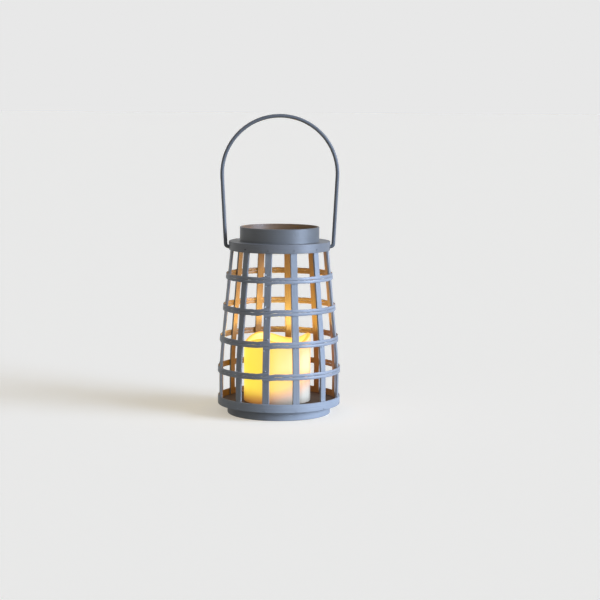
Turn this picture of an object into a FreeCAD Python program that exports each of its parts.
import FreeCAD, Part
import math
import os
import Sketcher

# A basket lantern: bamboo slats between two bands, wound with cane, with a bail handle
# and a battery candle inside. Millimetres, +Z up, origin under the middle of the foot,
# +X through one end of the bail.

Vector = FreeCAD.Vector
Rotation = FreeCAD.Rotation
Placement = FreeCAD.Placement
UP = Vector(0, 0, 1)
ALONG_X = Rotation(Vector(0, 1, 0), 90)

DIMENSIONS = {
    # foot, floor and base band
    "foot_diameter": 117.8,
    "foot_height": 11.0,
    "foot_wall": 3.0,
    "foot_round": 1.0,
    "floor_thickness": 3.0,
    "base_band_diameter": 139.6,
    "base_band_height": 9.6,
    "base_band_wall": 1.0,
    # slats
    "slat_count": 12,
    "slat_width": 7.7,
    "slat_thickness": 2.4,
    "slat_upright": 19.4,
    "slat_bow_radius": 400.0,
    "slat_head_bend": 30.0,
    "slat_round": 0.5,
    # rim, ring, cover and collar
    "rim_height": 196.9,
    "rim_band_diameter": 115.0,
    "rim_band_height": 10.0,
    "rim_band_wall": 1.0,
    "ring_thickness": 7.0,
    "cover_thickness": 3.0,
    "shoulder_width": 12.4,
    "collar_wall": 2.0,
    "collar_rise": 16.2,
    "collar_round": 0.6,
    "band_round": 0.5,
    # brads
    "brad_shank": 1.2,
    "brad_length": 7.5,
    "brad_head": 1.8,
    "brad_head_thickness": 0.4,
    # cane hoops
    "hoop_count": 4,
    "lowest_hoop": 51.0,
    "hoop_spacing": 35.45,
    "cane_width": 2.8,
    "cane_thickness": 1.3,
    "cane_turns": 2,
    "cane_gap": 0.75,
    "cane_waver": 0.1,
    "glue_line": 0.05,
    # bail handle
    "bail_rod": 4.2,
    "bail_arch_radius": 65.2,
    "bail_rise": 147.5,
    "bail_bend_radius": 3.3,
    "bail_stand_off": 0.4,
    "bail_tip_gap": 0.5,
    "bail_clearance": 0.06,
    # candle shell
    "candle_diameter": 76.0,
    "candle_height": 71.5,
    "candle_offset": 2.0,
    "candle_foot_gap": 0.6,
    "wax_wall": 4.0,
    "rim_wall": 5.0,
    "well_depth": 17.6,
    "well_floor": 5.0,
    "lip_drop": 1.0,
    "rim_wave_one": 1.0,
    "rim_wave_two": 0.7,
    "rim_wave_three": 4.0,
    # candle base
    "cup_clearance": 0.05,
    "cup_wall": 2.0,
    "cup_floor": 3.0,
    "bay_wall": 1.5,
    "lid_thickness": 2.0,
    "lead_room": 2.0,
    "door_thickness": 1.5,
    "door_lap": 1.5,
    "door_corner": 5.0,
    "door_clearance": 0.1,
    "screw_land": 6.5,
    "screw_shank": 1.8,
    "screw_length": 6.5,
    "screw_head": 4.0,
    "screw_head_thickness": 0.7,
    "boss_wall": 2.0,
    # cells and contacts
    "cell_diameter": 10.5,
    "cell_length": 44.5,
    "cell_nub": 0.8,
    "cell_nub_diameter": 3.8,
    "cell_room": 0.25,
    "plate_thickness": 0.5,
    "spring_length": 3.6,
    "spring_diameter": 7.0,
    "spring_wire": 0.5,
    "spring_turns": 3,
    # switch
    "switch_distance": 22.0,
    "switch_travel": 3.0,
    "switch_room": 0.3,
    "switch_wall": 1.4,
    "switch_height": 4.5,
    "knob_length": 4.0,
    "knob_width": 2.8,
    "knob_recess": 0.6,
    "knob_stem": 1.6,
    "knob_stem_rise": 2.2,
    # lamp
    "stem_diameter": 10.0,
    "stem_bore": 4.4,
    "bulb_diameter": 5.0,
    "bulb_height": 8.6,
    "bulb_flange": 5.8,
    "bulb_flange_thickness": 1.0,
    "bulb_room": 0.1,
    "lead_wire": 0.8,
    "lead_spread": 2.54,
    "lead_bend": 1.4,
}

doc = FreeCAD.newDocument("candle_lantern")
dims = doc.addObject("Spreadsheet::Sheet", "dims")
for row, (alias, number) in enumerate(DIMENSIONS.items(), start=1):
    dims.set(f"A{row}", alias)
    dims.set(f"B{row}", str(number))
    dims.setAlias(f"B{row}", alias)
doc.recompute()

# Heights and distances that follow from the driving dimensions.
FLOOR_TOP = "(dims.foot_height + dims.floor_thickness)"
BASE_BAND_TOP = "(dims.foot_height + dims.base_band_height)"
RIM_UNDER = "(dims.rim_height - dims.rim_band_height)"
RING_TOP = "(dims.rim_height - dims.cover_thickness)"
RING_UNDER = f"({RING_TOP} - dims.ring_thickness)"
PIVOT_HEIGHT = f"({RING_TOP} - dims.ring_thickness / 2)"
FLOOR_MIDDLE = "(dims.foot_height + dims.floor_thickness / 2)"
RIM_RADIUS = "(dims.rim_band_diameter / 2)"
BASE_RADIUS = "(dims.base_band_diameter / 2)"
COLLAR_RADIUS = f"({RIM_RADIUS} - dims.shoulder_width)"
RIM_BORE = f"({RIM_RADIUS} - dims.rim_band_wall)"
BASE_BORE = f"({BASE_RADIUS} - dims.base_band_wall)"
HEAD_FACE = f"sqrt(({RIM_BORE})^2 - (dims.slat_width / 2)^2)"
FOOT_FACE = f"sqrt(({BASE_BORE})^2 - (dims.slat_width / 2)^2)"
RING_RADIUS = f"({HEAD_FACE} - dims.slat_thickness)"
FLOOR_RADIUS = f"({FOOT_FACE} - dims.slat_thickness)"
BOW_FOOT = f"({BASE_BAND_TOP} + dims.slat_upright)"

# The slats were spaced by eye: how many degrees each one is off an even spacing.
SLAT_SHIFTS = [1.0, 1.0, 2.7, 4.8, 6.3, 1.0, -4.5, 1.0, 0.0, -1.2, -1.0, 1.0]

# The candle's own heights start from its underside, which stands on the floor board.
WAX_RADIUS = "(dims.candle_diameter / 2)"
WAX_BORE = f"({WAX_RADIUS} - dims.wax_wall)"
WELL_RADIUS = f"({WAX_RADIUS} - dims.rim_wall)"
WELL_BOTTOM = "(dims.candle_height - dims.well_depth)"
WELL_UNDER = f"({WELL_BOTTOM} - dims.well_floor)"
WAVE_REACH = "(abs(dims.rim_wave_one) + abs(dims.rim_wave_two) + abs(dims.rim_wave_three))"
BULB_HOLE = "(dims.bulb_flange / 2 + dims.bulb_room)"
CUP_RADIUS = f"({WAX_BORE} - dims.cup_clearance)"
CELL_HEIGHT = "(dims.door_thickness + dims.cell_room + dims.cell_diameter / 2)"
BAY_TOP = f"({CELL_HEIGHT} + dims.cell_diameter / 2 + dims.cell_room)"
LID_UNDER = f"({BAY_TOP} + dims.lead_room)"
LID_TOP = f"({LID_UNDER} + dims.lid_thickness)"
LEAD_HEIGHT = f"({LID_UNDER} - dims.lead_room / 2)"
BAY_LENGTH = "(dims.cell_length + dims.spring_length + 2 * dims.plate_thickness)"
BAY_WIDTH = "(2 * dims.cell_diameter + 4 * dims.cell_room)"
DOOR_LENGTH = f"({BAY_LENGTH} + 2 * dims.door_lap)"
DOOR_WIDTH = f"({BAY_WIDTH} + 2 * dims.door_lap + dims.screw_land)"
SCREW_DISTANCE = f"({BAY_WIDTH} / 2 + dims.door_lap + dims.screw_land / 2)"
SLOT_LENGTH = "(dims.knob_length + dims.switch_travel + 2 * dims.switch_room)"
SLOT_WIDTH = "(dims.knob_width + 2 * dims.switch_room)"
STEM_SLOT_LENGTH = "(dims.knob_stem + dims.switch_travel + 2 * dims.switch_room)"
STEM_SLOT_WIDTH = "(dims.knob_stem + 2 * dims.switch_room)"
SWITCH_START = "(0 - dims.switch_travel / 2)"

subparts = []


def amount(text):
    """The number that an expression on the sheet comes to."""
    return float(dims.evalExpression(text))


def bind(thing, path, text):
    """Tie one property of an object to an expression on the sheet."""
    thing.setExpression(path, text)


def keep(thing, label):
    """Name a finished sub-part and list it for export."""
    thing.Label = label
    subparts.append(thing)
    return thing


def put(thing, across="0", back="0", up="0"):
    """Tie the place of an object to the sheet."""
    for path, text in (("x", across), ("y", back), ("z", up)):
        bind(thing, f"Placement.Base.{path}", text)
    return thing


def put_in_candle(thing):
    """Place a piece that was drawn in the candle's own frame."""
    return put(thing, "0 - dims.candle_offset", "0", FLOOR_TOP)


def slat_angle(number):
    """Where a slat stands round the lantern, in degrees from +X; the first is number 1."""
    shift = SLAT_SHIFTS[(number - 1) % len(SLAT_SHIFTS)]
    return f"(({number} - 0.5) * 360 / dims.slat_count + {shift})"


def slat_numbers():
    return range(1, int(amount("dims.slat_count")) + 1)


def new_body(name):
    return doc.addObject("PartDesign::Body", name)


def origin_piece(body, role):
    return next(item for item in body.Origin.OriginFeatures if item.Role == role)


def sketch_on(body, role, name):
    """An empty sketch on one of the body's own origin planes."""
    sketch = body.newObject("Sketcher::SketchObject", name)
    sketch.AttachmentSupport = (origin_piece(body, role), [""])
    sketch.MapMode = "FlatFace"
    return sketch


def limit(sketch, text, *constraint):
    """Add a dimension to a sketch, bound to an expression."""
    index = sketch.addConstraint(Sketcher.Constraint(*constraint, amount(text)))
    bind(sketch, f"Constraints[{index}]", text)


def locate(sketch, element, point, across, up):
    """Tie a point of a sketch to its origin; None puts the point on that axis."""
    if across is None:
        sketch.addConstraint(Sketcher.Constraint("PointOnObject", element, point, -2))
    else:
        limit(sketch, across, "DistanceX", -1, 1, element, point)
    if up is None:
        sketch.addConstraint(Sketcher.Constraint("PointOnObject", element, point, -1))
    else:
        limit(sketch, up, "DistanceY", -1, 1, element, point)


def draw_circle(sketch, radius, across=None, up=None):
    """A circle whose middle and radius are bound."""
    middle = Vector(amount(across or "0"), amount(up or "0"), 0)
    element = sketch.addGeometry(Part.Circle(middle, UP, amount(radius)))
    locate(sketch, element, 3, across, up)
    limit(sketch, radius, "Radius", element)


def draw_outline(sketch, corners):
    """A closed outline of straight lines through bound corners."""
    places = [Vector(amount(across or "0"), amount(up or "0"), 0) for across, up in corners]
    following = places[1:] + places[:1]
    for start, end in zip(places, following):
        sketch.addGeometry(Part.LineSegment(start, end))
    for element, corner in enumerate(corners):
        before = (element - 1) % len(corners)
        sketch.addConstraint(Sketcher.Constraint("Coincident", before, 2, element, 1))
        locate(sketch, element, 1, *corner)


def pad(body, sketch, length, symmetric=False):
    feature = body.newObject("PartDesign::Pad", f"{body.Name}_pad")
    feature.Profile = sketch
    if symmetric:
        feature.SideType = "Symmetric"
    bind(feature, "Length", length)
    doc.recompute()
    return feature


def revolve(body, sketch, axis):
    """Turn a sketch a full circle about its own axis."""
    feature = body.newObject("PartDesign::Revolution", f"{body.Name}_turned")
    feature.Profile = sketch
    feature.ReferenceAxis = (sketch, [axis])
    feature.Angle = 360
    doc.recompute()
    return feature


def round_edges(body, chosen, radius):
    """Round the edges of the body's last feature for which chosen says yes."""
    base = body.Tip
    names = [f"Edge{index}" for index, edge in enumerate(base.Shape.Edges, start=1) if chosen(edge)]
    feature = body.newObject("PartDesign::Fillet", f"{body.Name}_round")
    feature.Base = (base, names)
    bind(feature, "Radius", radius)
    doc.recompute()


def drill_for_brad(body, face_radius, height):
    """A hole of a brad's own size along +X, from its point outwards."""
    volume = body.Shape.Volume
    sketch = sketch_on(body, "YZ_Plane", f"{body.Name}_brad_hole")
    bind(sketch, "AttachmentOffset.Base.z", f"{face_radius} - dims.brad_length")
    draw_circle(sketch, "dims.brad_shank / 2", None, height)
    pocket = body.newObject("PartDesign::Pocket", f"{body.Name}_drilled")
    pocket.Profile = sketch
    pocket.Type = "ThroughAll"
    pocket.Reversed = True
    doc.recompute()
    if body.Shape.Volume >= volume:
        raise RuntimeError(f"the brad hole missed {body.Name}")


def hoop(name, radius, bore, height, up, rounded=None):
    """A flat-sided ring. rounded is the size of its outer edges' rounding."""
    body = new_body(name)
    sketch = sketch_on(body, "XY_Plane", f"{name}_section")
    draw_circle(sketch, radius)
    if bore is not None:
        draw_circle(sketch, bore)
    pad(body, sketch, height)
    if rounded is not None:
        outer = amount(radius)
        round_edges(body, lambda edge: is_circle(edge, outer), rounded)
    put(body, "0", "0", up)
    return body


def is_circle(edge, radius):
    curve = edge.Curve
    return isinstance(curve, Part.Circle) and abs(curve.Radius - radius) < 1e-6


def cylinder(name, radius, height, across="0", back="0", up="0", turn=None):
    thing = doc.addObject("Part::Cylinder", name)
    bind(thing, "Radius", radius)
    bind(thing, "Height", height)
    if turn is not None:
        thing.Placement = Placement(Vector(), turn)
    return put(thing, across, back, up)


def block(name, length, width, height, across="0", back="0", up="0"):
    """A box whose place is the middle of its underside."""
    thing = doc.addObject("Part::Box", name)
    for side, text in (("Length", length), ("Width", width), ("Height", height)):
        bind(thing, side, text)
    return put(thing, f"{across} - {length} / 2", f"{back} - {width} / 2", up)


def cut(name, base, tool):
    thing = doc.addObject("Part::Cut", name)
    thing.Base = base
    thing.Tool = tool
    return thing


def fuse(name, pieces):
    thing = doc.addObject("Part::MultiFuse", name)
    thing.Shapes = pieces
    return thing


def group(name, pieces):
    """Several separate solids that share one node."""
    thing = doc.addObject("Part::Compound", name)
    thing.Links = pieces
    return thing


def radial_pin(name, number, radius, start, length, height):
    """A cylinder that points straight out at a slat."""
    angle = slat_angle(number)
    turn = Rotation(UP, amount(angle)) * ALONG_X
    across, back = f"({start}) * cos({angle})", f"({start}) * sin({angle})"
    return cylinder(name, radius, length, across, back, height, turn)


def brad_shanks(name, face_radius, height):
    """The shanks of a ring of brads, one at each slat."""
    return [radial_pin(f"{name}_{number}", number, "dims.brad_shank / 2", f"{face_radius} - dims.brad_length",
                       "dims.brad_length", height) for number in slat_numbers()]


# Foot, floor and base band. Floor and band are drilled together for the brads.
foot_radius = "(dims.foot_diameter / 2)"
keep(hoop("foot_ring", foot_radius, f"{foot_radius} - dims.foot_wall", "dims.foot_height", "0",
          "dims.foot_round"), "foot_hoop")

base_bores = group("base_bores", brad_shanks("base_bore", BASE_RADIUS, FLOOR_MIDDLE))
floor_disc = hoop("floor_disc", FLOOR_RADIUS, None, "dims.floor_thickness", "dims.foot_height")
keep(cut("floor_drilled", floor_disc, base_bores), "floor_board")
base_ring = hoop("base_ring", BASE_RADIUS, BASE_BORE, "dims.base_band_height", "dims.foot_height",
                 "dims.band_round")
keep(cut("base_drilled", base_ring, base_bores), "base_band")


# Rim band, ring, cover and collar. Band and ring are drilled together, for the brads and for the
# bail, whose ends turn in the bore.
bail_bore = cylinder("bail_bore", "dims.bail_rod / 2 + dims.bail_clearance", "dims.rim_band_diameter * 1.2",
                     "0 - dims.rim_band_diameter * 0.6", "0", PIVOT_HEIGHT, ALONG_X)
rim_bores = group("rim_bores", [bail_bore, *brad_shanks("rim_bore", RIM_RADIUS, PIVOT_HEIGHT)])
rim_hoop = hoop("rim_hoop", RIM_RADIUS, RIM_BORE, "dims.rim_band_height", RIM_UNDER, "dims.band_round")
keep(cut("rim_drilled", rim_hoop, rim_bores), "rim_band")
ring_board = hoop("ring_board", RING_RADIUS, COLLAR_RADIUS, "dims.ring_thickness", RING_UNDER)
keep(cut("ring_drilled", ring_board, rim_bores), "top_ring")

keep(hoop("cover_board", RIM_BORE, COLLAR_RADIUS, "dims.cover_thickness", RING_TOP), "top_cover")

collar_height = f"dims.rim_height + dims.collar_rise - {RING_UNDER}"
collar_bore = f"({COLLAR_RADIUS} - dims.collar_wall)"
neck = hoop("neck", COLLAR_RADIUS, collar_bore, collar_height, RING_UNDER)
neck_top = amount(collar_height)
round_edges(neck, lambda edge: abs(edge.BoundBox.ZMin - neck_top) < 1e-6, "dims.collar_round")
keep(neck, "collar")


# Foot line, bow, leaning line, bend and head line: the pieces of each face in a slat's outline.
SLAT_LINES = 5


def slat_blank():
    """One slat on the +X side: upright at the foot, leaning in, and upright again under the rim."""
    body = new_body("slat_blank")
    sketch = sketch_on(body, "XZ_Plane", "slat_side")
    draw_slat_face(sketch, FOOT_FACE, HEAD_FACE)
    draw_slat_face(sketch, FLOOR_RADIUS, RING_RADIUS)
    for height, outer, point in (("dims.foot_height", 0, 1), (RING_TOP, SLAT_LINES - 1, 2)):
        ends = [Vector(*sketch.getPoint(outer + side, point)) for side in (0, SLAT_LINES)]
        closing = sketch.addGeometry(Part.LineSegment(*ends))
        for side, end in ((0, 1), (SLAT_LINES, 2)):
            sketch.addConstraint(Sketcher.Constraint("Coincident", closing, end, outer + side, point))
            limit(sketch, height, "DistanceY", -1, 1, outer + side, point)
    pad(body, sketch, "dims.slat_width", symmetric=True)
    round_edges(body, lambda edge: abs(edge.BoundBox.YLength) < 1e-6 and edge.BoundBox.ZLength > 1e-6,
                "dims.slat_round")
    drill_for_brad(body, BASE_RADIUS, FLOOR_MIDDLE)
    drill_for_brad(body, RIM_RADIUS, PIVOT_HEIGHT)
    return body


def slat_lean():
    """The angle in radians at which the slats lean in, so that their curves join the straight part."""
    curves = amount("dims.slat_bow_radius + dims.slat_head_bend")
    across = curves - amount(f"{FOOT_FACE} - {HEAD_FACE}")
    rise = amount(f"{RIM_UNDER} - {BOW_FOOT}")
    straight = math.sqrt(across ** 2 + rise ** 2 - curves ** 2)
    return math.atan2(rise, across) - math.atan2(straight, curves)


def draw_slat_face(sketch, foot, head):
    """One face of a slat, seen from the side."""
    foot_across, head_across = amount(foot), amount(head)
    low, high = amount(BOW_FOOT), amount(RIM_UNDER)
    bow, bend = amount("dims.slat_bow_radius"), amount("dims.slat_head_bend")
    lean = slat_lean()
    bow_middle = Vector(foot_across - bow, low, 0)
    bend_middle = Vector(head_across + bend, high, 0)
    way = Vector(math.cos(lean), math.sin(lean), 0)
    first = sketch.addGeometry(Part.LineSegment(Vector(foot_across, amount("dims.foot_height"), 0),
                                                Vector(foot_across, low, 0)))
    sketch.addGeometry(Part.ArcOfCircle(Part.Circle(bow_middle, UP, bow), 0, lean))
    sketch.addGeometry(Part.LineSegment(bow_middle + way * bow, bend_middle - way * bend))
    sketch.addGeometry(Part.ArcOfCircle(Part.Circle(bend_middle, UP, bend), math.pi, math.pi + lean))
    sketch.addGeometry(Part.LineSegment(Vector(head_across, high, 0),
                                        Vector(head_across, amount(RING_TOP), 0)))
    for one, one_end, other, other_end in ((0, 2, 1, 1), (1, 2, 2, 1), (2, 2, 3, 2), (3, 1, 4, 1)):
        sketch.addConstraint(Sketcher.Constraint("Tangent", first + one, one_end, first + other, other_end))
    for line in (0, SLAT_LINES - 1):
        sketch.addConstraint(Sketcher.Constraint("Vertical", first + line))
    locate(sketch, first, 2, foot, BOW_FOOT)
    locate(sketch, first + SLAT_LINES - 1, 1, head, RIM_UNDER)
    limit(sketch, "dims.slat_bow_radius", "Radius", first + 1)
    limit(sketch, "dims.slat_head_bend", "Radius", first + 3)


def slat_face_radius(height):
    """How far a slat's outer face stands from the axis at a height below its head bend."""
    bow = amount("dims.slat_bow_radius")
    lean = slat_lean()
    above = max(0.0, height - amount(BOW_FOOT))
    curved = min(above, bow * math.sin(lean))
    return amount(FOOT_FACE) - bow + math.sqrt(bow ** 2 - curved ** 2) - (above - curved) * math.tan(lean)


blank = slat_blank()
for number in slat_numbers():
    slat = new_body(f"slat_{number:02d}")
    copy = slat.newObject("PartDesign::FeatureBase", f"slat_copy_{number:02d}")
    copy.BaseFeature = blank
    slat.Tip = copy
    slat.Placement = Placement(Vector(), Rotation(UP, 1))
    bind(slat, "Placement.Rotation.Angle", slat_angle(number))
    keep(slat, f"slat_{number:02d}")


def brad_ring(name, face_radius, height):
    """Brads driven straight in through a band, one at each slat."""
    shanks = brad_shanks(f"{name}_shank", face_radius, height)
    brads = []
    for number, shank in zip(slat_numbers(), shanks):
        head = radial_pin(f"{name}_head_{number}", number, "dims.brad_head / 2", face_radius,
                          "dims.brad_head_thickness", height)
        brads.append(fuse(f"{name}_{number}", [shank, head]))
    return group(name, brads)


keep(brad_ring("rim_nails", RIM_RADIUS, PIVOT_HEIGHT), "rim_brads")
keep(brad_ring("base_nails", BASE_RADIUS, FLOOR_MIDDLE), "base_brads")


def arc_through(start, way, end):
    """The point halfway along the arc that leaves start in the direction way and reaches end."""
    chord = end - start
    along = way.dot(chord) / chord.Length
    aside = way - chord * (along / chord.Length)
    if aside.Length < 1e-9:
        raise RuntimeError("an arc of a winding has no bend")
    rise = chord.Length / 2 * math.tan(math.acos(min(1.0, along)) / 2)
    return start + chord / 2 + aside.normalize() * rise


def biarc(start, start_way, end, end_way):
    """Two arcs that join two places smoothly, each with its own direction."""
    reach = end - start
    along = reach.dot(start_way + end_way)
    spread = 2 * (1 - start_way.dot(end_way))
    handle = (math.sqrt(along ** 2 + spread * reach.dot(reach)) - along) / spread
    meeting = (start + end + (start_way - end_way) * handle) / 2
    first = Part.Arc(start, arc_through(start, start_way, meeting), meeting)
    second = Part.Arc(meeting, arc_through(end, end_way * -1, meeting), end)
    return [first.toShape(), second.toShape()]


def wound_tube(places, ways, width, thickness):
    """One unbroken strand through quarter-turn places, with straight ends one width long."""
    lead_in = places[0] - ways[0] * width
    lead_out = places[-1] + ways[-1] * width
    edges = [Part.LineSegment(lead_in, places[0]).toShape()]
    for index in range(len(places) - 1):
        edges += biarc(places[index], ways[index], places[index + 1], ways[index + 1])
    edges.append(Part.LineSegment(places[-1], lead_out).toShape())
    path = Part.Wire(edges)
    section = Part.Ellipse(Vector(), width / 2, thickness / 2)
    outline = Part.Wire([section.toShape()])
    outline.Placement = Placement(lead_in, Rotation(UP, Vector(), ways[0], "ZXY"))
    tube = path.makePipeShell([outline], True, False)
    print(f"strand: least gap to itself {own_gap(path, width):.2f} mm, volume {tube.Volume:.1f},"
          f" section times length {math.pi / 4 * width * thickness * path.Length:.1f}")
    return tube


# Places on a strand count as different turns when they are this many widths apart along it.
OTHER_TURN_WIDTHS = 6
GAP_SAMPLES = 480
# Angle in radians by which a turn's slight rise and fall moves on at each quarter.
WAVER_STEP = 2.4


def own_gap(path, width):
    """The least distance between turns, measured on points along the path."""
    points = path.discretize(Number=GAP_SAMPLES)
    step = path.Length / (len(points) - 1)
    apart = int(OTHER_TURN_WIDTHS * width / step) + 1
    nearest = min(points[one].distanceToPoint(points[other])
                  for one in range(len(points)) for other in range(one + apart, len(points)))
    return nearest - width


def cane_hoop(height, start):
    """A strand wound round the slats, each turn level and then stepping up to the next."""
    width = amount("dims.cane_width")
    thickness = amount("dims.cane_thickness")
    pitch = width + amount("dims.cane_gap")
    turns = int(amount("dims.cane_turns"))
    half_slat = amount("dims.slat_width / 2")
    stand_off = amount("dims.glue_line") + thickness / 2
    places = []
    ways = []
    for quarter in range(4 * turns + 1):
        angle = start + quarter * math.pi / 2
        level = quarter // 4 - (turns - 1) / 2
        up = height + level * pitch + amount("dims.cane_waver") * math.sin(WAVER_STEP * quarter + height)
        radius = math.hypot(slat_face_radius(up - width / 2), half_slat) + stand_off
        places.append(Vector(radius * math.cos(angle), radius * math.sin(angle), up))
        ways.append(Vector(-math.sin(angle), math.cos(angle), 0))
    return wound_tube(places, ways, width, thickness)


# Every strand starts on the same slat, just left of the middle of the front.
FIRST_SLAT = 9
strand_start = math.radians(amount(slat_angle(FIRST_SLAT)))
for number in range(int(amount("dims.hoop_count"))):
    winding = doc.addObject("Part::Feature", f"cane_{number + 1}")
    hoop_height = amount("dims.lowest_hoop") + number * amount("dims.hoop_spacing")
    winding.Shape = cane_hoop(hoop_height, strand_start)
    keep(winding, f"cane_hoop_{number + 1}")

BAIL_TIP = f"({COLLAR_RADIUS} + dims.bail_tip_gap)"
BAIL_BEND = f"({RIM_RADIUS} + dims.bail_stand_off)"
BAIL_ARCH = f"({PIVOT_HEIGHT} + dims.bail_rise - dims.bail_arch_radius)"


def bail():
    """A bent rod: a round arch, two legs that lean in, and ends turned into the rim."""
    body = new_body("bail")
    path = sketch_on(body, "XZ_Plane", "bail_line")
    pivot = amount(PIVOT_HEIGHT)
    bend = amount("dims.bail_bend_radius")
    arch = amount("dims.bail_arch_radius")
    tip = amount(BAIL_TIP)
    bend_across = amount(BAIL_BEND)
    arch_up = amount(BAIL_ARCH)
    lean = bail_lean()
    normal = Vector(math.cos(lean), math.sin(lean), 0)
    bend_middle = Vector(bend_across, pivot + bend, 0)
    arch_middle = Vector(0, arch_up, 0)
    leg_low = bend_middle + normal * bend
    leg_high = arch_middle + normal * arch

    def mirrored(place):
        return Vector(-place.x, place.y, 0)

    def arc(middle, radius, first, last):
        path.addGeometry(Part.ArcOfCircle(Part.Circle(middle, UP, radius), first, last))

    def line(start, end):
        path.addGeometry(Part.LineSegment(start, end))

    line(Vector(-tip, pivot, 0), Vector(-bend_across, pivot, 0))
    arc(mirrored(bend_middle), bend, math.pi - lean, 1.5 * math.pi)
    line(mirrored(leg_low), mirrored(leg_high))
    arc(arch_middle, arch, lean, math.pi - lean)
    line(leg_high, leg_low)
    arc(bend_middle, bend, 1.5 * math.pi, 2 * math.pi + lean)
    line(Vector(bend_across, pivot, 0), Vector(tip, pivot, 0))
    for join in [(0, 2, 1, 2), (1, 1, 2, 1), (2, 2, 3, 2), (3, 1, 4, 1), (4, 2, 5, 2), (5, 1, 6, 1)]:
        path.addConstraint(Sketcher.Constraint("Tangent", *join))
    for level in (0, 6):
        path.addConstraint(Sketcher.Constraint("Horizontal", level))
    locate(path, 5, 3, BAIL_BEND, f"{PIVOT_HEIGHT} + dims.bail_bend_radius")
    path.addConstraint(Sketcher.Constraint("Symmetric", 1, 3, 5, 3, -2))
    limit(path, "dims.bail_bend_radius", "Radius", 5)
    path.addConstraint(Sketcher.Constraint("Equal", 1, 5))
    locate(path, 3, 3, None, BAIL_ARCH)
    limit(path, "dims.bail_arch_radius", "Radius", 3)
    limit(path, BAIL_TIP, "DistanceX", -1, 1, 6, 2)
    limit(path, f"2 * {BAIL_TIP}", "DistanceX", 0, 1, 6, 2)
    section = sketch_on(body, "YZ_Plane", "bail_rod")
    bind(section, "AttachmentOffset.Base.z", f"0 - {BAIL_TIP}")
    draw_circle(section, "dims.bail_rod / 2", None, PIVOT_HEIGHT)
    doc.recompute()
    rod = body.newObject("PartDesign::AdditivePipe", "bail_rod_bent")
    rod.Profile = section
    rod.Spine = (path, [f"Edge{index}" for index in range(1, 8)])
    doc.recompute()
    return body


def bail_lean():
    """The direction square to the right leg, as an angle above +X."""
    across = amount(BAIL_BEND)
    up = amount(f"{PIVOT_HEIGHT} + dims.bail_bend_radius - {BAIL_ARCH}")
    swell = amount("dims.bail_arch_radius - dims.bail_bend_radius")
    return math.atan2(up, across) + math.acos(swell / math.hypot(across, up))


keep(bail(), "bail_handle")


def wax_shell():
    """The hollow wax pillar, before its rim is melted."""
    body = new_body("wax_shell")
    sketch = sketch_on(body, "XZ_Plane", "wax_half")
    top = f"dims.candle_height + {WAVE_REACH} + dims.lip_drop"
    draw_outline(sketch, [
        (WAX_BORE, "dims.candle_foot_gap"),
        (WAX_RADIUS, "dims.candle_foot_gap"),
        (WAX_RADIUS, top),
        (WELL_RADIUS, top),
        (WELL_RADIUS, WELL_BOTTOM),
        (BULB_HOLE, WELL_BOTTOM),
        (BULB_HOLE, WELL_UNDER),
        (WAX_BORE, WELL_UNDER),
    ])
    revolve(body, sketch, "V_Axis")
    return body


def rim_level(angle):
    """Height of the melted rim above the candle's mean height."""
    waves = (amount("dims.rim_wave_one"), amount("dims.rim_wave_two"), amount("dims.rim_wave_three"))
    return sum(size * math.cos(number * angle) for number, size in enumerate(waves, start=1))


def rim_curve(radius, height, points=36):
    """A closed curve round the candle that rises and falls with the rim."""
    places = []
    for number in range(points):
        angle = 2 * math.pi * number / points
        level = height + rim_level(angle)
        places.append(Vector(radius * math.cos(angle), radius * math.sin(angle), level))
    curve = Part.BSplineCurve()
    curve.interpolate(places, PeriodicFlag=True)
    return curve.toShape()


def melted_away():
    """The wax that has melted off above the wavy rim, which slopes in towards the well."""
    margin = amount("dims.rim_wall")
    mean = amount("dims.candle_height")
    outer = rim_curve(amount(WAX_RADIUS) + margin, mean)
    inner = rim_curve(amount(WELL_RADIUS) - margin, mean - amount("dims.lip_drop"))
    surface = Part.makeRuledSurface(outer, inner)
    solid = surface.extrude(UP * amount(f"2 * {WAVE_REACH} + 4 * dims.lip_drop"))
    thing = doc.addObject("Part::Feature", "melted_away")
    thing.Shape = solid
    return thing


keep(put_in_candle(cut("wax_melted", wax_shell(), melted_away())), "candle_wax")


def rounded_block(name, length, width, height, corner, back, up):
    """A block with its upright corners rounded."""
    base = block(f"{name}_block", length, width, height, "0", back, up)
    doc.recompute()
    upright = [index for index, edge in enumerate(base.Shape.Edges, start=1)
               if edge.BoundBox.ZLength > edge.Length / 2]
    thing = doc.addObject("Part::Fillet", name)
    thing.Base = base
    radius = amount(corner)
    thing.Edges = [(index, radius, radius) for index in upright]
    return thing


DOOR_MIDDLE = f"({BAY_WIDTH} / 2 + dims.door_lap - {DOOR_WIDTH} / 2)"


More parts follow.
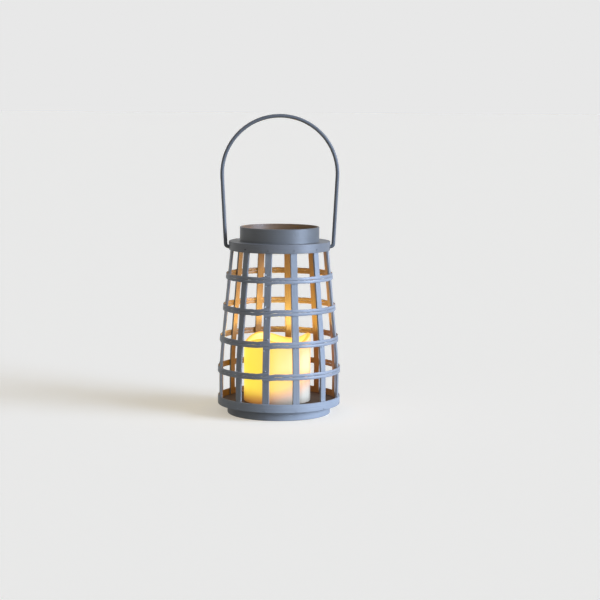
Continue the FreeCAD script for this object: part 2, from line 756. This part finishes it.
def base_cup():
    """The moulded tray in the candle's foot: cell bay, screw boss and switch slot."""
    shell = cylinder("cup_shell", CUP_RADIUS, LID_UNDER)
    hollow = cylinder("cup_hollow", f"{CUP_RADIUS} - dims.cup_wall", f"{LID_UNDER} - dims.cup_floor",
                      up="dims.cup_floor")
    bay = block("bay_block", f"({BAY_LENGTH} + 2 * dims.bay_wall)",
                f"({BAY_WIDTH} + 2 * dims.bay_wall)", BAY_TOP)
    boss = cylinder("screw_boss", "dims.screw_shank / 2 + dims.boss_wall",
                    "dims.door_thickness + dims.screw_length", back=f"0 - {SCREW_DISTANCE}")
    solid = fuse("cup_solid", [cut("cup_open", shell, hollow), bay, boss])
    door_seat = rounded_block("door_seat", f"({DOOR_LENGTH} + 2 * dims.door_clearance)",
                              f"({DOOR_WIDTH} + 2 * dims.door_clearance)", "dims.door_thickness",
                              "dims.door_corner + dims.door_clearance", DOOR_MIDDLE, "0")
    bay_room = block("bay_room", BAY_LENGTH, BAY_WIDTH, BAY_TOP)
    screw_hole = cylinder("screw_hole", "dims.screw_shank / 2", "dims.screw_length",
                          back=f"0 - {SCREW_DISTANCE}")
    slot = block("switch_slot", SLOT_LENGTH, SLOT_WIDTH, "dims.cup_floor", back="dims.switch_distance")
    return cut("cup", solid, fuse("cup_cuts", [door_seat, bay_room, screw_hole, slot]))


keep(put_in_candle(base_cup()), "candle_base_cup")


def door():
    """The battery door, let into the underside, with a counterbore for its screw."""
    plate = rounded_block("door_plate", DOOR_LENGTH, DOOR_WIDTH, "dims.door_thickness", "dims.door_corner",
                          DOOR_MIDDLE, "0")
    hole = cylinder("door_hole", "dims.screw_shank / 2", "dims.door_thickness", back=f"0 - {SCREW_DISTANCE}")
    seat = cylinder("screw_seat", "dims.screw_head / 2", "dims.screw_head_thickness",
                    back=f"0 - {SCREW_DISTANCE}")
    return cut("door", plate, fuse("door_holes", [hole, seat]))


def screw():
    head = cylinder("screw_head", "dims.screw_head / 2", "dims.screw_head_thickness",
                    back=f"0 - {SCREW_DISTANCE}")
    shank = cylinder("screw_shank", "dims.screw_shank / 2", "dims.screw_length", back=f"0 - {SCREW_DISTANCE}")
    return fuse("screw", [head, shank])


keep(put_in_candle(door()), "battery_door")
keep(put_in_candle(screw()), "door_screw")

lid = cut("lid", cylinder("lid_disc", CUP_RADIUS, "dims.lid_thickness", up=LID_UNDER),
          cylinder("lid_hole", "dims.stem_bore / 2", "dims.lid_thickness", up=LID_UNDER))
keep(put_in_candle(lid), "candle_base_lid")


def cell(number, turned):
    """A dry cell lying along X, its nub against one contact plate."""
    nub_end = f"({BAY_LENGTH} / 2 - dims.plate_thickness)"
    aside = f"{BAY_WIDTH} / 4"
    can = cylinder(f"can_{number}", "dims.cell_diameter / 2", "dims.cell_length - dims.cell_nub",
                   f"{nub_end} - dims.cell_length", aside, CELL_HEIGHT, ALONG_X)
    nub = cylinder(f"nub_{number}", "dims.cell_nub_diameter / 2", "dims.cell_nub",
                   f"{nub_end} - dims.cell_nub", aside, CELL_HEIGHT, ALONG_X)
    thing = fuse(f"cell_{number}", [can, nub])
    thing.Placement = Placement(Vector(), Rotation(UP, 180 if turned else 0))
    return put_in_candle(thing)


keep(cell(1, turned=False), "battery_1")
keep(cell(2, turned=True), "battery_2")

plate_place = f"({BAY_LENGTH} / 2 - dims.plate_thickness / 2)"
plate_height = f"{LEAD_HEIGHT} + dims.lead_wire / 2 - dims.door_thickness - dims.cell_room"
plate_up = "dims.door_thickness + dims.cell_room"
plates = group("plates", [
    block("plate_right", "dims.plate_thickness", BAY_WIDTH, plate_height, plate_place, "0", plate_up),
    block("plate_left", "dims.plate_thickness", BAY_WIDTH, plate_height, f"0 - {plate_place}", "0", plate_up),
])
keep(put_in_candle(plates), "contact_plates")


def contact_spring(name, turned):
    """A coil that presses the flat end of a cell towards the other plate."""
    wire = amount("dims.spring_wire")
    radius = amount("dims.spring_diameter") / 2 - wire / 2
    quarters = 4 * int(amount("dims.spring_turns"))
    plate = amount(f"{BAY_LENGTH} / 2 - dims.plate_thickness")
    climb = (amount("dims.spring_length") - wire) / quarters
    aside, up = amount(f"{BAY_WIDTH} / 4"), amount(CELL_HEIGHT)
    places = []
    ways = []
    for quarter in range(quarters + 1):
        angle = quarter * math.pi / 2
        across = wire / 2 + quarter * climb - plate
        places.append(Vector(across, aside + radius * math.cos(angle), up + radius * math.sin(angle)))
        ways.append(Vector(0, -math.sin(angle), math.cos(angle)))
    thing = doc.addObject("Part::Feature", name)
    thing.Shape = wound_tube(places, ways, wire, wire)
    thing.Placement = Placement(Vector(), Rotation(UP, 180 if turned else 0))
    return thing


springs = group("springs", [contact_spring("spring_left", False), contact_spring("spring_right", True)])
keep(put_in_candle(springs), "contact_springs")

switch_case = cut("switch_case",
                  block("switch_block", f"({SLOT_LENGTH} + 2 * dims.switch_wall)",
                        f"({SLOT_WIDTH} + 2 * dims.switch_wall)", "dims.switch_height", "0",
                        "dims.switch_distance", "dims.cup_floor"),
                  block("switch_room", STEM_SLOT_LENGTH, STEM_SLOT_WIDTH,
                        "(dims.knob_stem_rise + dims.switch_room)", "0",
                        "dims.switch_distance", "dims.cup_floor"))
keep(put_in_candle(switch_case), "switch_body")

knob_height = "(dims.cup_floor - dims.knob_recess - dims.switch_room)"
knob = fuse("knob", [
    block("knob_button", "dims.knob_length", "dims.knob_width", knob_height, SWITCH_START,
          "dims.switch_distance", "dims.knob_recess"),
    block("knob_post", "dims.knob_stem", "dims.knob_stem",
          f"({knob_height} + dims.switch_room + dims.knob_stem_rise)", SWITCH_START, "dims.switch_distance",
          "dims.knob_recess"),
])
keep(put_in_candle(knob), "switch_knob")

keep(put_in_candle(hoop("lamp_stem", "dims.stem_diameter / 2", "dims.stem_bore / 2",
                        f"{WELL_UNDER} - {LID_TOP}", "0")), "led_stem")
bind(subparts[-1], "Placement.Base.z", f"{FLOOR_TOP} + {LID_TOP}")


def bulb():
    """A round-topped lamp with a flange at its foot."""
    body = fuse("bulb", [
        cylinder("bulb_flange", "dims.bulb_flange / 2", "dims.bulb_flange_thickness", up=WELL_UNDER),
        cylinder("bulb_barrel", "dims.bulb_diameter / 2", "dims.bulb_height - dims.bulb_diameter / 2",
                 up=WELL_UNDER),
        bulb_dome(),
    ])
    return body


def bulb_dome():
    dome = doc.addObject("Part::Sphere", "bulb_dome")
    bind(dome, "Radius", "dims.bulb_diameter / 2")
    return put(dome, "0", "0", f"{WELL_UNDER} + dims.bulb_height - dims.bulb_diameter / 2")


keep(put_in_candle(bulb()), "led_bulb")


def lead(name, corners):
    """A thin wire of straight runs and round bends through the corners given."""
    bend = amount("dims.lead_bend")
    edges = []
    start = corners[0]
    for before, corner, after in zip(corners, corners[1:], corners[2:]):
        come = (corner - before).normalize()
        leave = (after - corner).normalize()
        first, last = corner - come * bend, corner + leave * bend
        edges.append(Part.LineSegment(start, first).toShape())
        edges.append(Part.Arc(first, arc_through(first, come, last), last).toShape())
        start = last
    edges.append(Part.LineSegment(start, corners[-1]).toShape())
    path = Part.Wire(edges)
    way = (corners[1] - corners[0]).normalize()
    section = Part.Wire([Part.Circle(corners[0], way, amount("dims.lead_wire") / 2).toShape()])
    thing = doc.addObject("Part::Feature", name)
    thing.Shape = path.makePipeShell([section], True, False)
    return thing


lead_aside = amount("dims.lead_spread / 2")
lead_top = amount(WELL_UNDER)
lead_up = amount(LEAD_HEIGHT)
plate_face = amount(f"{BAY_LENGTH} / 2 - dims.plate_thickness")
switch_back = amount("dims.switch_distance")
switch_top = amount("dims.cup_floor + dims.switch_height")
leads = group("leads", [
    lead("lead_to_plate", [Vector(lead_aside, 0, lead_top), Vector(lead_aside, 0, lead_up),
                           Vector(plate_face, 0, lead_up)]),
    lead("lead_to_switch", [Vector(-lead_aside, 0, lead_top), Vector(-lead_aside, 0, lead_up),
                            Vector(-lead_aside, switch_back, lead_up),
                            Vector(-lead_aside, switch_back, switch_top)]),
])
keep(put_in_candle(leads), "led_leads")

doc.recompute()
failed = [item.Name for item in doc.Objects if "Invalid" in item.State or "Error" in item.State]
if failed:
    raise RuntimeError(f"these objects failed: {failed}")
for part in subparts:
    if part.Shape.isNull() or not part.Shape.isValid() or part.Shape.Volume <= 0:
        raise RuntimeError(f"{part.Label} has no valid shape")

os.makedirs("parts", exist_ok=True)
for part in subparts:
    part.Shape.exportStep(f"parts/{part.Label}.step")
    print(f"{part.Label}: {len(part.Shape.Solids)} solid(s), {part.Shape.Volume:.1f} cubic mm")
